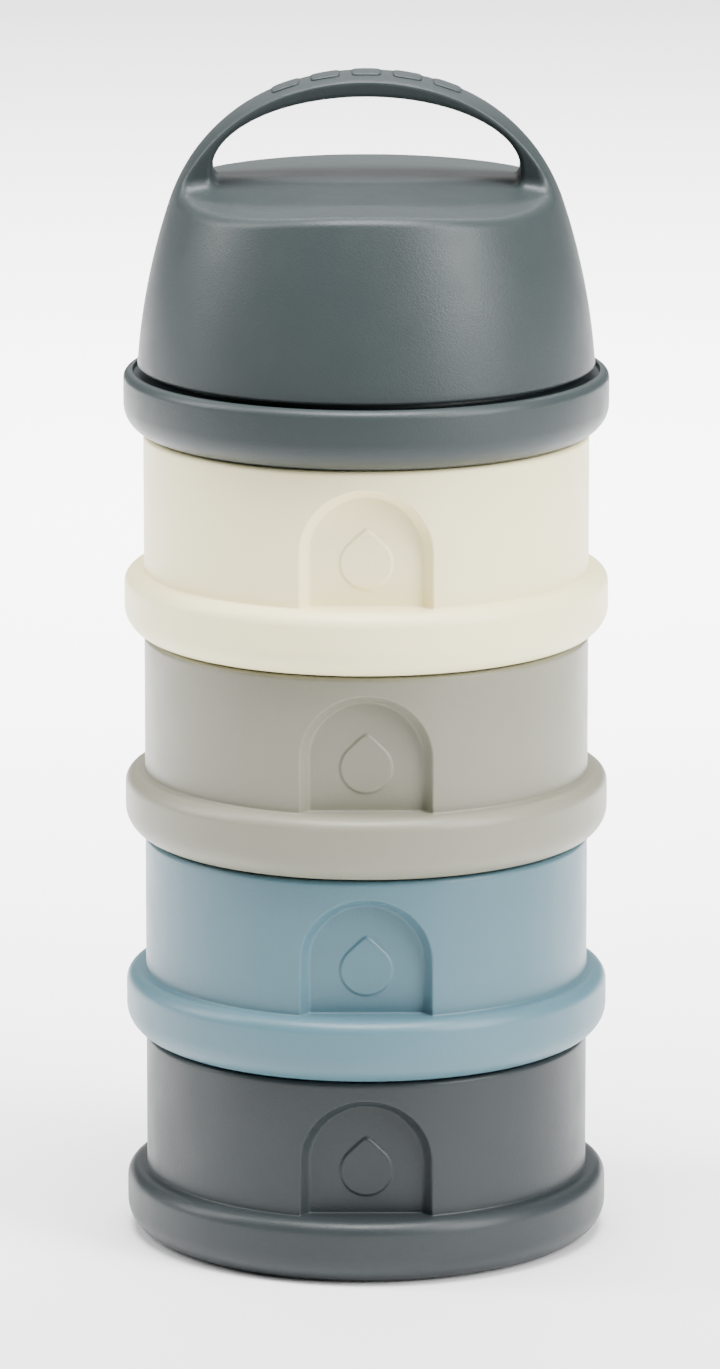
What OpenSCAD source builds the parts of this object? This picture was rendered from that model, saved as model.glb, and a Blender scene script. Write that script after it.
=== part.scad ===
// Formula dispenser: four round containers screwed one on another, a pouring spout
// with a collar, and a domed cap with a carrying handle.
// Millimetres, +Z up. The origin is the centre of the foot of the lowest container.
// The arched recess of every container faces -Y.

/* [Stack] */
// Height from the foot of one container to the foot of the next
stack_pitch = 38.1; // [37:0.1:42]
// Radius of the grip ring round the foot of each container
ring_r = 45; // [45:0.5:48]
// Radius of the straight body of each container
body_r = 41.35; // [41:0.05:42]
// Thickness of the moulded walls
wall = 2; // [1.8:0.1:2.2]

/* [Grip ring] */
// Height of the grip ring
ring_h = 12.2; // [11.8:0.1:13]
// Rounding of the ring's upper edge
ring_top_round = 2.6; // [2:0.1:3]
// Rounding of the ring's foot
ring_foot_round = 5.4; // [4:0.1:5.4]

/* [Screw joints] */
// Outer radius of the necks of the containers
neck_r = 37.2; // [36.8:0.1:37.4]
// Height of the necks
neck_h = 7.6; // [7.6:0.1:8.4]
// Rise of the threads in one turn
thread_lead = 12; // [12:0.5:13]
// Number of thread starts
thread_starts = 3; // [3]
// Angle that each thread runs round
thread_span = 72; // [60:6:72]
// How far the threads stand out
thread_depth = 1.1; // [0.9:0.1:1.1]
// Height of a thread at its root
thread_h = 1.4; // [1.2:0.1:1.4]
// Free height between two threads in mesh
thread_play = 0.35; // [0.35:0.05:0.5]
// Gap between a thread and the wall it turns in
thread_gap = 0.3; // [0.25:0.05:0.4]

/* [Seals] */
// Thickness of the silicone seals
seal_t = 1.5; // [1.3:0.1:1.7]
// Gap round a seal in its seat
seal_gap = 0.4; // [0.3:0.05:0.5]

/* [Arched recess] */
// Half width of the recess
arch_r = 11.3; // [10:0.1:12]
// Height of the arch's centre above the foot
arch_centre_z = 22.3; // [21:0.1:23]
// Distance from the axis to the recess's flat floor
arch_floor_y = 38.3; // [38:0.1:39]
// Width of the raised drop in the recess
drop_w = 9.6; // [7:0.1:11]
// Height that the drop is raised
drop_t = 0.4; // [0.3:0.1:0.6]

/* [Spout] */
// Height of the collar
collar_h = 11.6; // [11.2:0.1:12]
// Rounding of the collar's upper edge
collar_top_round = 1.6; // [1.2:0.1:1.8]
// Radius of the step inside the collar, where the cap sits
collar_step_r = 43.2; // [43:0.1:43.3]
// Outer radius of the spout's neck
spout_neck_r = 38; // [37.8:0.1:38.2]
// Height of the top of the spout's neck above its foot
spout_neck_z = 20.5; // [20:0.1:21]
// Inner radius of the mouth
mouth_r = 12.2; // [11:0.1:14]
// Height of the mouth above the spout's foot
mouth_z = 32; // [31:0.1:32]

/* [Cap] */
// Height of the cap's rim above the spout's foot
cap_rim_z = 12.2; // [12.2:0.1:12.6]
// Radius of the dome where it is widest
dome_base_r = 42.65; // [42.4:0.05:42.7]
// Height of the widest place above the spout's foot
dome_base_z = 4.1; // [4:0.1:4.5]
// Radius of curvature of the dome's side
dome_side_r = 122; // [121:1:123]
// Angle at which the side turns into the shoulder
dome_side_angle = 18.6; // [18:0.1:19]
// Radius of curvature of the dome's shoulder
dome_shoulder_r = 33.7; // [33.5:0.1:34]
// Angle at which the shoulder turns into the crown
dome_shoulder_angle = 68.4; // [68:0.1:69]
// Height of the roof's edge above the spout's foot
roof_edge_z = 46.2; // [46:0.1:46.4]
// Rise of the roof from its edge to its centre
roof_rise = 1.45; // [1.3:0.05:1.6]

/* [Handle] */
// Width of the handle's strap
strap_w = 16; // [14:0.5:18]
// Half length of the finger gap
gap_half_l = 28.3; // [27:0.1:28.5]
// Height of the finger gap's top above the spout's foot
gap_top_z = 63.6; // [63:0.1:64]
// Height of the finger gap's widest place above the spout's foot
gap_wide_z = 49.6; // [49:0.1:50]
// Number of grip pads on the strap
pad_count = 5; // [1:1:5]
// Height of the grip pads
pad_t = 0.4; // [0.3:0.1:0.6]

/* [Hidden] */
$fn = 96;
round_steps = 6;
dome_steps = 10;
overlap = 0.5;
past = 1;

slate = [0.36, 0.40, 0.41];
cream = [0.86, 0.84, 0.76];
taupe = [0.68, 0.68, 0.64];
blue = [0.53, 0.63, 0.66];
grey = [0.40, 0.43, 0.44];
silicone = [0.90, 0.90, 0.88];

// The neck stands on the shoulder, and its rim presses the seal of the piece above
shoulder_gap = 0.2;
shoulder_z = stack_pitch - shoulder_gap;
neck_top_z = shoulder_z + neck_h;
neck_in_r = neck_r - wall;
body_in_r = body_r - wall;
seal_z = neck_top_z - stack_pitch;
floor_z = seal_z + seal_t;
floor_t = 1.8;
floor_top_z = floor_z + floor_t;
floor_round = 3;

// The threads: the outer ones on a neck, the inner ones in the skirt over it
skirt_r = neck_r + thread_depth + thread_gap;
outer_thread_z = 2.9;
mesh_drop = thread_h + thread_play;
seal_keeper_t = 0.8;
seal_keeper_h = 1;
seal_reach = 1;
seal_in_r = neck_in_r - seal_reach;
seal_out_r = skirt_r - seal_gap;

// The spout and the cap
spout_z = 4 * stack_pitch;
deck_z = floor_top_z;
cap_bore_r = spout_neck_r + thread_depth + thread_gap;
cap_bore_top_z = 22;
cap_thread_z = cap_rim_z + outer_thread_z;
cone_foot_h = 1.6;
cone_foot_z = floor_z + cone_foot_h;
mouth_t = 1.8;
mouth_h = 4;
mouth_out_r = mouth_r + mouth_t;
cone_top_z = mouth_z - mouth_h;
cone_slope = (cone_top_z - cone_foot_z) / (neck_in_r - mouth_r);
cone_rise = wall / cos(atan(cone_slope));
plug_seat_z = mouth_z + seal_t;
plug_reach = 1.5;
plug_r = mouth_out_r + plug_reach;
boss_reach = 0.5;
boss_t = 2.8;
boss_r = plug_r + boss_reach;
boss_bore_r = boss_r - boss_t;
roof_t = 2;
roof_under_z = roof_edge_z - roof_t;

// The dome is three arcs that run into each other: side, shoulder and crown
side_c = [dome_base_r - dome_side_r, dome_base_z];
shoulder_c = side_c + (dome_side_r - dome_shoulder_r) * [cos(dome_side_angle), sin(dome_side_angle)];
crown_r = dome_shoulder_r + shoulder_c[0] / cos(dome_shoulder_angle);
crown_c = shoulder_c + (dome_shoulder_r - crown_r) * [cos(dome_shoulder_angle), sin(dome_shoulder_angle)];
dome_h = crown_c[1] + crown_r;

// The roof under the handle is crowned, as part of a large ball
roof_edge_r = shoulder_c[0] + sqrt(pow(dome_shoulder_r, 2) - pow(roof_edge_z - shoulder_c[1], 2));
roof_ball_r = (pow(roof_edge_r, 2) + pow(roof_rise, 2)) / (2 * roof_rise);

// Points on an arc about [cx, cy] from angle a0 to angle a1
function arc(cx, cy, r, a0, a1, n = round_steps) =
    [for (i = [0:n]) let (a = a0 + (a1 - a0) * i / n) [cx + r * cos(a), cy + r * sin(a)]];

// Outside of a grip ring, from the foot up to the end of its upper rounding
function ring_outline(h, top_round) = concat(
    arc(ring_r - ring_foot_round, ring_foot_round, ring_foot_round, -90, 0),
    arc(ring_r - top_round, h - top_round, top_round, 0, 90)
);

// Angle on the dome's side at height z, when the wall is moved inwards by inset
function side_angle(z, inset) = asin((z - side_c[1]) / (dome_side_r - inset));

// Angle on the dome's shoulder at height z, when the wall is moved inwards by inset
function shoulder_angle(z, inset) = asin((z - shoulder_c[1]) / (dome_shoulder_r - inset));

// One thread as a ridge that climbs round the axis and fades out at both ends
module thread(root_r, tip_r, start_z, start_angle) {
    steps = 12;
    sides = 4;
    end_share = 0.2;
    fade_steps = 2;
    sunk_r = root_r + (root_r > tip_r ? overlap : -overlap);
    points = [for (i = [0:steps]) let (
        a = start_angle + thread_span * i / steps,
        z = start_z + thread_lead * thread_span * i / steps / 360,
        full = min(1, end_share + min(i, steps - i) / fade_steps),
        r = root_r + (tip_r - root_r) * full,
        section = [
            [sunk_r, z - thread_h / 2], [r, z - thread_h / 4],
            [r, z + thread_h / 4], [sunk_r, z + thread_h / 2]
        ]
    ) for (p = section) [p[0] * cos(a), p[0] * sin(a), p[1]]];
    strip = [for (i = [0:steps - 1], j = [0:sides - 1], half = [0, 1]) let (k = (j + 1) % sides)
        half == 0 ? [i * sides + j, i * sides + k, (i + 1) * sides + k]
                  : [i * sides + j, (i + 1) * sides + k, (i + 1) * sides + j]];
    faces = concat([[3, 2, 1, 0]], strip, [[for (j = [0:sides - 1]) steps * sides + j]]);
    turned = [for (f = faces) [for (j = [len(f) - 1:-1:0]) f[j]]];
    polyhedron(points, root_r > tip_r ? turned : faces);
}

// All the threads of one screw joint
module threads(root_r, tip_r, start_z) {
    for (i = [0:thread_starts - 1])
        thread(root_r, tip_r, start_z, i * 360 / thread_starts);
}

// An arched door shape standing in the XZ plane, reaching from floor_y out to the body
module arch_prism(half_w, bottom_z, floor_y, out_r) {
    depth = 8;
    intersection() {
        translate([0, -floor_y, 0])
            rotate([90, 0, 0])
                linear_extrude(depth) {
                    translate([0, arch_centre_z])
                        circle(half_w);
                    translate([-half_w, bottom_z])
                        square([2 * half_w, arch_centre_z - bottom_z]);
                }
        cylinder(h = shoulder_z, r = out_r);
    }
}

// The raised drop on the recess's floor
module drop() {
    r = drop_w / 2;
    low = 1.9;
    drop_steps = 30;
    translate([0, overlap - arch_floor_y, arch_centre_z - low])
        rotate([90, 0, 0])
            linear_extrude(drop_t + overlap)
                polygon(concat([[0, r * sqrt(2)]], arc(0, 0, r, 135, 405, drop_steps)));
}

module container_shell() {
    slope_h = body_in_r - neck_in_r;
    neck_root_h = 0.8;
    slope_top_z = shoulder_z - neck_root_h;
    rotate_extrude()
        polygon(concat(
            [[skirt_r, 0]],
            ring_outline(ring_h, ring_top_round),
            [
                [body_r, ring_h], [body_r, shoulder_z], [neck_r, shoulder_z],
                [neck_r, neck_top_z], [neck_in_r, neck_top_z], [neck_in_r, slope_top_z],
                [body_in_r, slope_top_z - slope_h]
            ],
            arc(body_in_r - floor_round, floor_top_z + floor_round, floor_round, 0, -90),
            [[0, floor_top_z], [0, floor_z], [skirt_r, floor_z]]
        ));
}

// A ring under the floor that keeps the seal centred
module seal_keeper() {
    keeper_r = seal_in_r - seal_gap;
    translate([0, 0, floor_z - seal_keeper_h])
        difference() {
            cylinder(h = seal_keeper_h + overlap, r = keeper_r);
            translate([0, 0, -past])
                cylinder(h = seal_keeper_h + overlap + 2 * past, r = keeper_r - seal_keeper_t);
        }
}

module container(index, colour) {
    color(colour)
        translate([0, 0, index * stack_pitch]) {
            difference() {
                union() {
                    container_shell();
                    arch_prism(arch_r + wall, floor_top_z - overlap, arch_floor_y - wall,
                        body_in_r + overlap);
                }
                arch_prism(arch_r, ring_h, arch_floor_y, body_r + overlap);
            }
            drop();
            seal_keeper();
            threads(neck_r, neck_r + thread_depth, stack_pitch + outer_thread_z);
            threads(skirt_r, skirt_r - thread_depth, outer_thread_z - mesh_drop);
        }
}

// The flat silicone ring under the floor of a container or of the spout
module ring_seal(index) {
    r = 0.4;
    color(silicone)
        translate([0, 0, index * stack_pitch + seal_z])
            rotate_extrude()
                polygon(concat(
                    arc(seal_out_r - r, r, r, -90, 0, 3),
                    arc(seal_out_r - r, seal_t - r, r, 0, 90, 3),
                    arc(seal_in_r + r, seal_t - r, r, 90, 180, 3),
                    arc(seal_in_r + r, r, r, 180, 270, 3)
                ));
}

module spout() {
    neck_in = spout_neck_r - wall;
    lip = 0.6;
    color(slate)
        translate([0, 0, spout_z]) {
            rotate_extrude()
                polygon(concat(
                    [[skirt_r, 0]],
                    ring_outline(collar_h, collar_top_round),
                    [
                        [collar_step_r, collar_h], [collar_step_r, deck_z], [spout_neck_r, deck_z],
                        [spout_neck_r, spout_neck_z], [neck_in, spout_neck_z],
                        [neck_in, cone_foot_z + cone_rise - cone_slope * (neck_in - neck_in_r)],
                        [mouth_out_r, cone_top_z + cone_rise - cone_slope * (mouth_out_r - mouth_r)]
                    ],
                    arc(mouth_out_r - lip, mouth_z - lip, lip, 0, 90, 3),
                    [
                        [mouth_r, mouth_z], [mouth_r, cone_top_z], [neck_in_r, cone_foot_z],
                        [neck_in_r, floor_z], [skirt_r, floor_z]
                    ]
                ));
            threads(spout_neck_r, spout_neck_r + thread_depth, cap_thread_z);
            threads(skirt_r, skirt_r - thread_depth, outer_thread_z - mesh_drop);
        }
}

// The silicone plug that closes the mouth, held by the cap's boss
module cap_seal() {
    plug_h = 2;
    stem_h = 3;
    color(silicone)
        translate([0, 0, spout_z + mouth_z]) {
            cylinder(h = seal_t, r = plug_r);
            translate([0, 0, -plug_h])
                cylinder(h = plug_h + overlap, r = mouth_r - 2 * seal_gap);
            translate([0, 0, seal_t - overlap])
                cylinder(h = stem_h + overlap, r = boss_bore_r - seal_gap);
        }
}

// The whole dome as one solid, made larger by grow
module dome(grow) {
    low_angle = side_angle(cap_rim_z, -grow);
    rotate_extrude()
        polygon(concat(
            [[0, cap_rim_z]],
            arc(side_c[0], side_c[1], dome_side_r + grow, low_angle, dome_side_angle, dome_steps),
            arc(shoulder_c[0], shoulder_c[1], dome_shoulder_r + grow,
                dome_side_angle, dome_shoulder_angle, dome_steps),
            arc(crown_c[0], crown_c[1], crown_r + grow, dome_shoulder_angle, 90, dome_steps)
        ));
}

// The hollow of the cap
module cap_hollow() {
    bore_slope_h = 2;
    rotate_extrude()
        polygon(concat(
            [[0, cap_rim_z - past], [cap_bore_r, cap_rim_z - past], [cap_bore_r, cap_bore_top_z]],
            arc(side_c[0], side_c[1], dome_side_r - wall,
                side_angle(cap_bore_top_z + bore_slope_h, wall), dome_side_angle, round_steps),
            arc(shoulder_c[0], shoulder_c[1], dome_shoulder_r - wall,
                dome_side_angle, shoulder_angle(roof_under_z, wall), round_steps),
            [[0, roof_under_z]]
        ));
}

// The finger gap seen along the Y axis: half an oval on a straight-sided foot
module gap_outline() {
    rise = gap_top_z - gap_wide_z;
    steps = 20;
    foot_z = roof_edge_z - past;
    polygon(concat(
        [[-gap_half_l, foot_z], [gap_half_l, foot_z]],
        [for (i = [0:steps]) let (a = 180 * i / steps) [gap_half_l * cos(a), gap_wide_z + rise * sin(a)]]
    ));
}

// Everything under the crowned roof
module under_roof(reach) {
    centre_z = roof_edge_z + roof_rise - roof_ball_r;
    rotate_extrude()
        polygon(concat(
            [[0, 0], [reach, 0]],
            arc(0, centre_z, roof_ball_r, acos(reach / roof_ball_r), 90)
        ));
}

// What is taken off the dome to leave the handle: a scoop on each side and the gap
module handle_cut() {
    reach = dome_base_r + past;
    difference() {
        union() {
            for (side = [0, 180])
                rotate(side)
                    translate([-reach, strap_w / 2, roof_edge_z - past])
                        cube([2 * reach, reach, dome_h]);
            translate([0, reach, 0])
                rotate([90, 0, 0])
                    linear_extrude(2 * reach)
                        gap_outline();
        }
        under_roof(reach);
    }
}

// Plain pads along the top of the strap, for grip
module grip_pads() {
    spacing = 7.6;
    pad_l = 5.4;
    pad_w = 7.4;
    intersection() {
        dome(pad_t);
        for (i = [0:pad_count - 1])
            translate([(i - (pad_count - 1) / 2) * spacing - pad_l / 2, -pad_w / 2, gap_top_z - past])
                cube([pad_l, pad_w, dome_h]);
    }
}

module cap() {
    boss_h = roof_under_z - plug_seat_z;
    color(slate)
        translate([0, 0, spout_z]) {
            difference() {
                dome(0);
                cap_hollow();
                handle_cut();
            }
            grip_pads();
            translate([0, 0, plug_seat_z])
                difference() {
                    cylinder(h = boss_h + overlap, r = boss_r);
                    translate([0, 0, -past])
                        cylinder(h = boss_h + past, r = boss_bore_r);
                }
            threads(cap_bore_r, cap_bore_r - thread_depth, cap_thread_z - mesh_drop);
        }
}

cap();
cap_seal();
spout();
ring_seal(4);  // spout_seal
container(3, cream);  // container_cream
ring_seal(3);  // seal_cream
container(2, taupe);  // container_taupe
ring_seal(2);  // seal_taupe
container(1, blue);  // container_blue
ring_seal(1);  // seal_blue
container(0, grey);  // container_grey
ring_seal(0);  // seal_grey
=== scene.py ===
import math
from functools import partial

import bpy
import numpy as np
from mathutils import Matrix, Vector


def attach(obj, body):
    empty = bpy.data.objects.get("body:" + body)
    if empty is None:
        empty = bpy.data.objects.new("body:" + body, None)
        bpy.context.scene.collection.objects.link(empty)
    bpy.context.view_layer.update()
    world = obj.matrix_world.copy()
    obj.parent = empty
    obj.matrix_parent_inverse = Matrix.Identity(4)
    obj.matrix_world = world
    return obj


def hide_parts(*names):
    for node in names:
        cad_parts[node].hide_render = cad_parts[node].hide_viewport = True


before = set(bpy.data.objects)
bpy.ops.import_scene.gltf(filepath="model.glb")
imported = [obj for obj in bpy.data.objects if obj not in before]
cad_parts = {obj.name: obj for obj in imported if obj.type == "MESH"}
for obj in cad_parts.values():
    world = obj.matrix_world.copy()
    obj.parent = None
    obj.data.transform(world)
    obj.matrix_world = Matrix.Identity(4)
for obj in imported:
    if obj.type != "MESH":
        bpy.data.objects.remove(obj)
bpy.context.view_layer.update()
scene = bpy.context.scene

# Sizes are in millimetres and become metres when a mesh is made.
MM = 0.001

# Containers, from the bottom of each one
PITCH = 38.1
WALL = 2.0
RING_R = 45.0
BODY_R = 41.35
BODY_IN_R = BODY_R - WALL
RING_H = 12.2
RING_FOOT = 5.4
NECK_R = 37.2
NECK_IN_R = NECK_R - WALL
NECK_TOP = 45.5
SHOULDER = 37.9
SKIRT_R = 38.6
FLOOR_Z = 8.9
FLOOR_TOP = 10.7
SEAL_Z = 7.4
SEAL_T = 1.5
SEAL_IN_R = 34.2
SEAL_OUT_R = 38.2

# The arched recess and the drop in it. ARCH_FLOOR is the recess's floor from the axis.
ARCH_FLOOR = 37.4
ARCH_CENTRE = 22.3
ARCH_MID = 11.25
ARCH_SLOPE = 1.05
ARCH_SOFT = 0.008
ARCH_HOLLOW = 1.5
ARCH_REACH = 13.2
BULGE_WIDER = 1.4
DROP_R = 4.8
DROP_CENTRE = 20.4
DROP_T = 0.32
DROP_EDGE = 0.5
DROP_TIP = 0.35

# Spout, from its own bottom
SPOUT_Z = 4 * PITCH
COLLAR_H = 11.6
STEP_R = 43.2
SPOUT_NECK_R = 38.0
SPOUT_NECK_TOP = 20.5
MOUTH_R = 12.2
MOUTH_TOP = 32.0

# Cap: the dome is three arcs, turned about the axis and cut away to a roof and a strap.
RIM_UP = 12.2
RIM_Z = SPOUT_Z + RIM_UP
BORE_R = 39.4
SIDE_C = (-79.35, SPOUT_Z + 4.1)
SIDE_R = 122.0
SIDE_ANGLE = math.radians(18.6)
SHOULDER_R = 33.7
SHOULDER_ANGLE = math.radians(68.4)
SHOULDER_C = (
    SIDE_C[0] + (SIDE_R - SHOULDER_R) * math.cos(SIDE_ANGLE),
    SIDE_C[1] + (SIDE_R - SHOULDER_R) * math.sin(SIDE_ANGLE),
)
CROWN_R = SHOULDER_R + SHOULDER_C[0] / math.cos(SHOULDER_ANGLE)
CROWN_Z = SHOULDER_C[1] + (SHOULDER_R - CROWN_R) * math.sin(SHOULDER_ANGLE)
ROOF_Z = 200.05
ROOF_FALL = 0.0413
ROOF_CROWN = 0.00069
SHELF_FALL = 0.6
SHELF_END_FALL = 0.0027
SHELF_START = 2
SHELF_LENGTH = 44
ROOF_UNDER = SPOUT_Z + 44.2
GAP_HALF = 28.3
GAP_RISE = 13.4
GAP_WIDE_Z = 202.0
STRAP_HALF = 8.0
STRAP_DRAFT = 0.32

# Threads. The span is in degrees.
THREAD_LEAD = 12.0
THREAD_SPAN = 72.0
THREAD_DEPTH = 1.1
THREAD_DROP = 1.75
THREAD_UP = 2.9
THREAD_HALF_H = 0.68
THREAD_STARTS = 3


def smooth_step(t):
    t = np.clip(t, 0, 1)
    return t * t * (3 - 2 * t)


# Camera, first of all. LOOK_DOWN is in degrees and EYE in metres.

LOOK_DOWN = 12.462
EYE = (0, -1.54606, 0.44557)


def camera():
    data = bpy.data.cameras.new("camera")
    data.lens = 223.12
    data.sensor_width = 36
    data.shift_x = -0.0046
    data.clip_end = 20
    item = bpy.data.objects.new("camera", data)
    scene.collection.objects.link(item)
    tilt = Matrix.Rotation(math.radians(90 - LOOK_DOWN), 4, "X")
    item.matrix_world = Matrix.Translation(Vector(EYE)) @ tilt
    scene.camera = item


camera()


# Materials. The patterns' sizes are in noise cells a metre.

CLOUD_CELLS = 55
SPECK_CELLS = 1400
SHEEN_CELLS = 120
GRAIN_CELLS = 2600
FLOW_CELLS = 38
CLOUD_SHARE = 0.65
SPECK_SHARE = 0.35
PLASTIC_IOR = 1.49


def wire(tree, a, out, b, into):
    tree.links.new(a.outputs[out], b.inputs[into])


def noise(tree, coord, scale, detail, rough=0.5):
    n = tree.nodes.new("ShaderNodeTexNoise")
    n.inputs["Scale"].default_value = scale
    n.inputs["Detail"].default_value = detail
    n.inputs["Roughness"].default_value = rough
    wire(tree, coord, "Object", n, "Vector")
    return n


def ramp(tree, source, low, high):
    """Spreads a noise's middle range over low to high."""
    r = tree.nodes.new("ShaderNodeMapRange")
    r.inputs["From Min"].default_value = 0.3
    r.inputs["From Max"].default_value = 0.7
    r.inputs["To Min"].default_value = low
    r.inputs["To Max"].default_value = high
    wire(tree, source, "Fac", r, "Value")
    return r


def moulded(name, colour, rough=0.42, grain=0.05, mottle=0.035, milky=0.0, gloss=0.42):
    """Satin moulded plastic: faint cloudy colour, uneven sheen, and a fine spark-eroded grain."""
    m = bpy.data.materials.new(name)
    m.use_nodes = True
    t = m.node_tree
    shader = t.nodes["Principled BSDF"]
    coord = t.nodes.new("ShaderNodeTexCoord")

    cloud = noise(t, coord, CLOUD_CELLS, 3)
    speck = noise(t, coord, SPECK_CELLS, 2, 0.6)
    mix = t.nodes.new("ShaderNodeMix")
    mix.data_type = "RGBA"
    mix.inputs["A"].default_value = [c * (1 - mottle) for c in colour] + [1]
    mix.inputs["B"].default_value = [min(c * (1 + mottle), 1) for c in colour] + [1]
    blend = t.nodes.new("ShaderNodeMath")
    blend.operation = "MULTIPLY_ADD"
    blend.inputs[1].default_value = SPECK_SHARE
    wire(t, speck, "Fac", blend, 0)
    wire(t, ramp(t, cloud, 0.0, CLOUD_SHARE), "Result", blend, 2)
    wire(t, blend, "Value", mix, "Factor")
    wire(t, mix, "Result", shader, "Base Color")

    sheen = noise(t, coord, SHEEN_CELLS, 4)
    wire(t, ramp(t, sheen, rough - 0.03, rough + 0.04), "Result", shader, "Roughness")

    fine = noise(t, coord, GRAIN_CELLS, 3, 0.6)
    flow = noise(t, coord, FLOW_CELLS, 2)
    low = t.nodes.new("ShaderNodeBump")
    low.inputs["Strength"].default_value = 0.25
    low.inputs["Distance"].default_value = 0.00012
    wire(t, flow, "Fac", low, "Height")
    top = t.nodes.new("ShaderNodeBump")
    top.inputs["Strength"].default_value = 1.0
    top.inputs["Distance"].default_value = grain * MM
    wire(t, fine, "Fac", top, "Height")
    wire(t, low, "Normal", top, "Normal")
    wire(t, top, "Normal", shader, "Normal")
    shader.inputs["IOR"].default_value = PLASTIC_IOR
    shader.inputs["Specular IOR Level"].default_value = gloss
    if milky:
        shader.inputs["Subsurface Weight"].default_value = milky
        shader.inputs["Subsurface Radius"].default_value = (0.004, 0.0036, 0.003)
        shader.inputs["Subsurface Scale"].default_value = 0.5
    return m


SLATE = moulded("slate satin plastic", (0.030, 0.039, 0.040), 0.40, gloss=0.34)
CREAM = moulded("cream satin plastic", (0.94, 0.855, 0.51), 0.36)
TAUPE = moulded("taupe satin plastic", (0.200, 0.196, 0.148), 0.39)
BLUE = moulded("blue satin plastic", (0.066, 0.136, 0.168), 0.39)
GREY = moulded("grey satin plastic", (0.020, 0.025, 0.027), 0.40, gloss=0.30)
SILICONE = moulded(
    "white silicone", (0.72, 0.72, 0.69), rough=0.33, grain=0.01, mottle=0.02, milky=0.3
)


# Mesh making


def volume(points, faces):
    """The volume that the faces enclose, negative where they face inwards."""
    total = 0.0
    for f in faces:
        a = points[f[0]]
        for i in range(1, len(f) - 1):
            b, c = points[f[i]], points[f[i + 1]]
            total += a[0] * (b[1] * c[2] - b[2] * c[1])
            total += a[1] * (b[2] * c[0] - b[0] * c[2])
            total += a[2] * (b[0] * c[1] - b[1] * c[0])
    return total / 6


def add_piece(name, points, faces, finish, normals=None):
    mesh = bpy.data.meshes.new(name)
    mesh.from_pydata((np.asarray(points) * MM).tolist(), [], faces)
    mesh.shade_smooth()
    mesh.materials.append(finish)
    if normals is not None:
        mesh.normals_split_custom_set_from_vertices(normals)
    item = bpy.data.objects.new(name, mesh)
    scene.collection.objects.link(item)
    return item


def bend(cx, cz, r, a0, a1, n):
    """Points on an arc, angles in degrees."""
    a = np.radians(np.linspace(a0, a1, n + 1))
    return [(cx + r * math.cos(t), cz + r * math.sin(t)) for t in a]


def straight(a, b, n):
    """Points after a, up to and with b."""
    return [(a[0] + (b[0] - a[0]) * i / n, a[1] + (b[1] - a[1]) * i / n) for i in range(1, n + 1)]


def even_columns(count):
    return np.linspace(-math.pi, math.pi, count, endpoint=False)


ON_AXIS = 1e-6


def lathe(outline, columns, base_z, shape=None):
    """Turns an outline about the axis.

    An end on the axis closes to one point. An outline with no end there is a loop.
    """
    outline = np.array(outline, float)
    count = len(columns)
    rows, points, start = [], [], 0
    for i, (r, z) in enumerate(outline):
        if r < ON_AXIS:
            ring = np.array([[0, 0, z]])
        else:
            ring = np.stack([r * np.sin(columns), -r * np.cos(columns), np.full(count, z)], 1)
        if shape is not None:
            ring = shape(i, r, ring)
        rows.append(np.arange(start, start + len(ring)))
        points.append(ring)
        start += len(ring)
    points = np.vstack(points) + [0, 0, base_z]
    faces = []
    loop = len(rows[0]) > 1 and len(rows[-1]) > 1
    pairs = list(zip(rows[:-1], rows[1:])) + ([(rows[-1], rows[0])] if loop else [])
    for low, high in pairs:
        for j in range(count):
            k = (j + 1) % count
            if len(low) == 1:
                faces.append((int(low[0]), int(high[k]), int(high[j])))
            elif len(high) == 1:
                faces.append((int(low[j]), int(low[k]), int(high[0])))
            else:
                faces.append((int(low[j]), int(low[k]), int(high[k]), int(high[j])))
    if volume(points, faces) < 0:
        faces = [f[::-1] for f in faces]
    return points, faces


# Node trees that grow what repeats


def new_tree(name, inputs):
    """A node tree with named inputs, and the identifier of each input."""
    tree = bpy.data.node_groups.new(name, "GeometryNodeTree")
    face = tree.interface
    sockets = {}
    for key, kind in inputs.items():
        made = face.new_socket(key, in_out="INPUT", socket_type="NodeSocket" + kind)
        sockets[key] = made.identifier
    face.new_socket("Geometry", in_out="OUTPUT", socket_type="NodeSocketGeometry")
    return tree, sockets


def math_node(tree, op, a, b=None):
    """A math node. Each input is a number or the output that feeds it."""
    n = tree.nodes.new("ShaderNodeMath")
    n.operation = op
    for slot, value in enumerate((a, b)):
        if isinstance(value, (int, float)):
            n.inputs[slot].default_value = value
        elif value is not None:
            tree.links.new(value, n.inputs[slot])
    return n.outputs[0]


def end_tree(tree, given, geometry):
    """The last nodes of a tree: smooth faces in the given finish."""
    smooth = tree.nodes.new("GeometryNodeSetShadeSmooth")
    tree.links.new(geometry, smooth.inputs["Geometry"])
    finish = tree.nodes.new("GeometryNodeSetMaterial")
    tree.links.new(smooth.outputs["Geometry"], finish.inputs["Geometry"])
    tree.links.new(given.outputs["Finish"], finish.inputs["Material"])
    out = tree.nodes.new("NodeGroupOutput")
    tree.links.new(finish.outputs["Geometry"], out.inputs["Geometry"])


# Threads, grown as ribs along a helix


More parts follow.
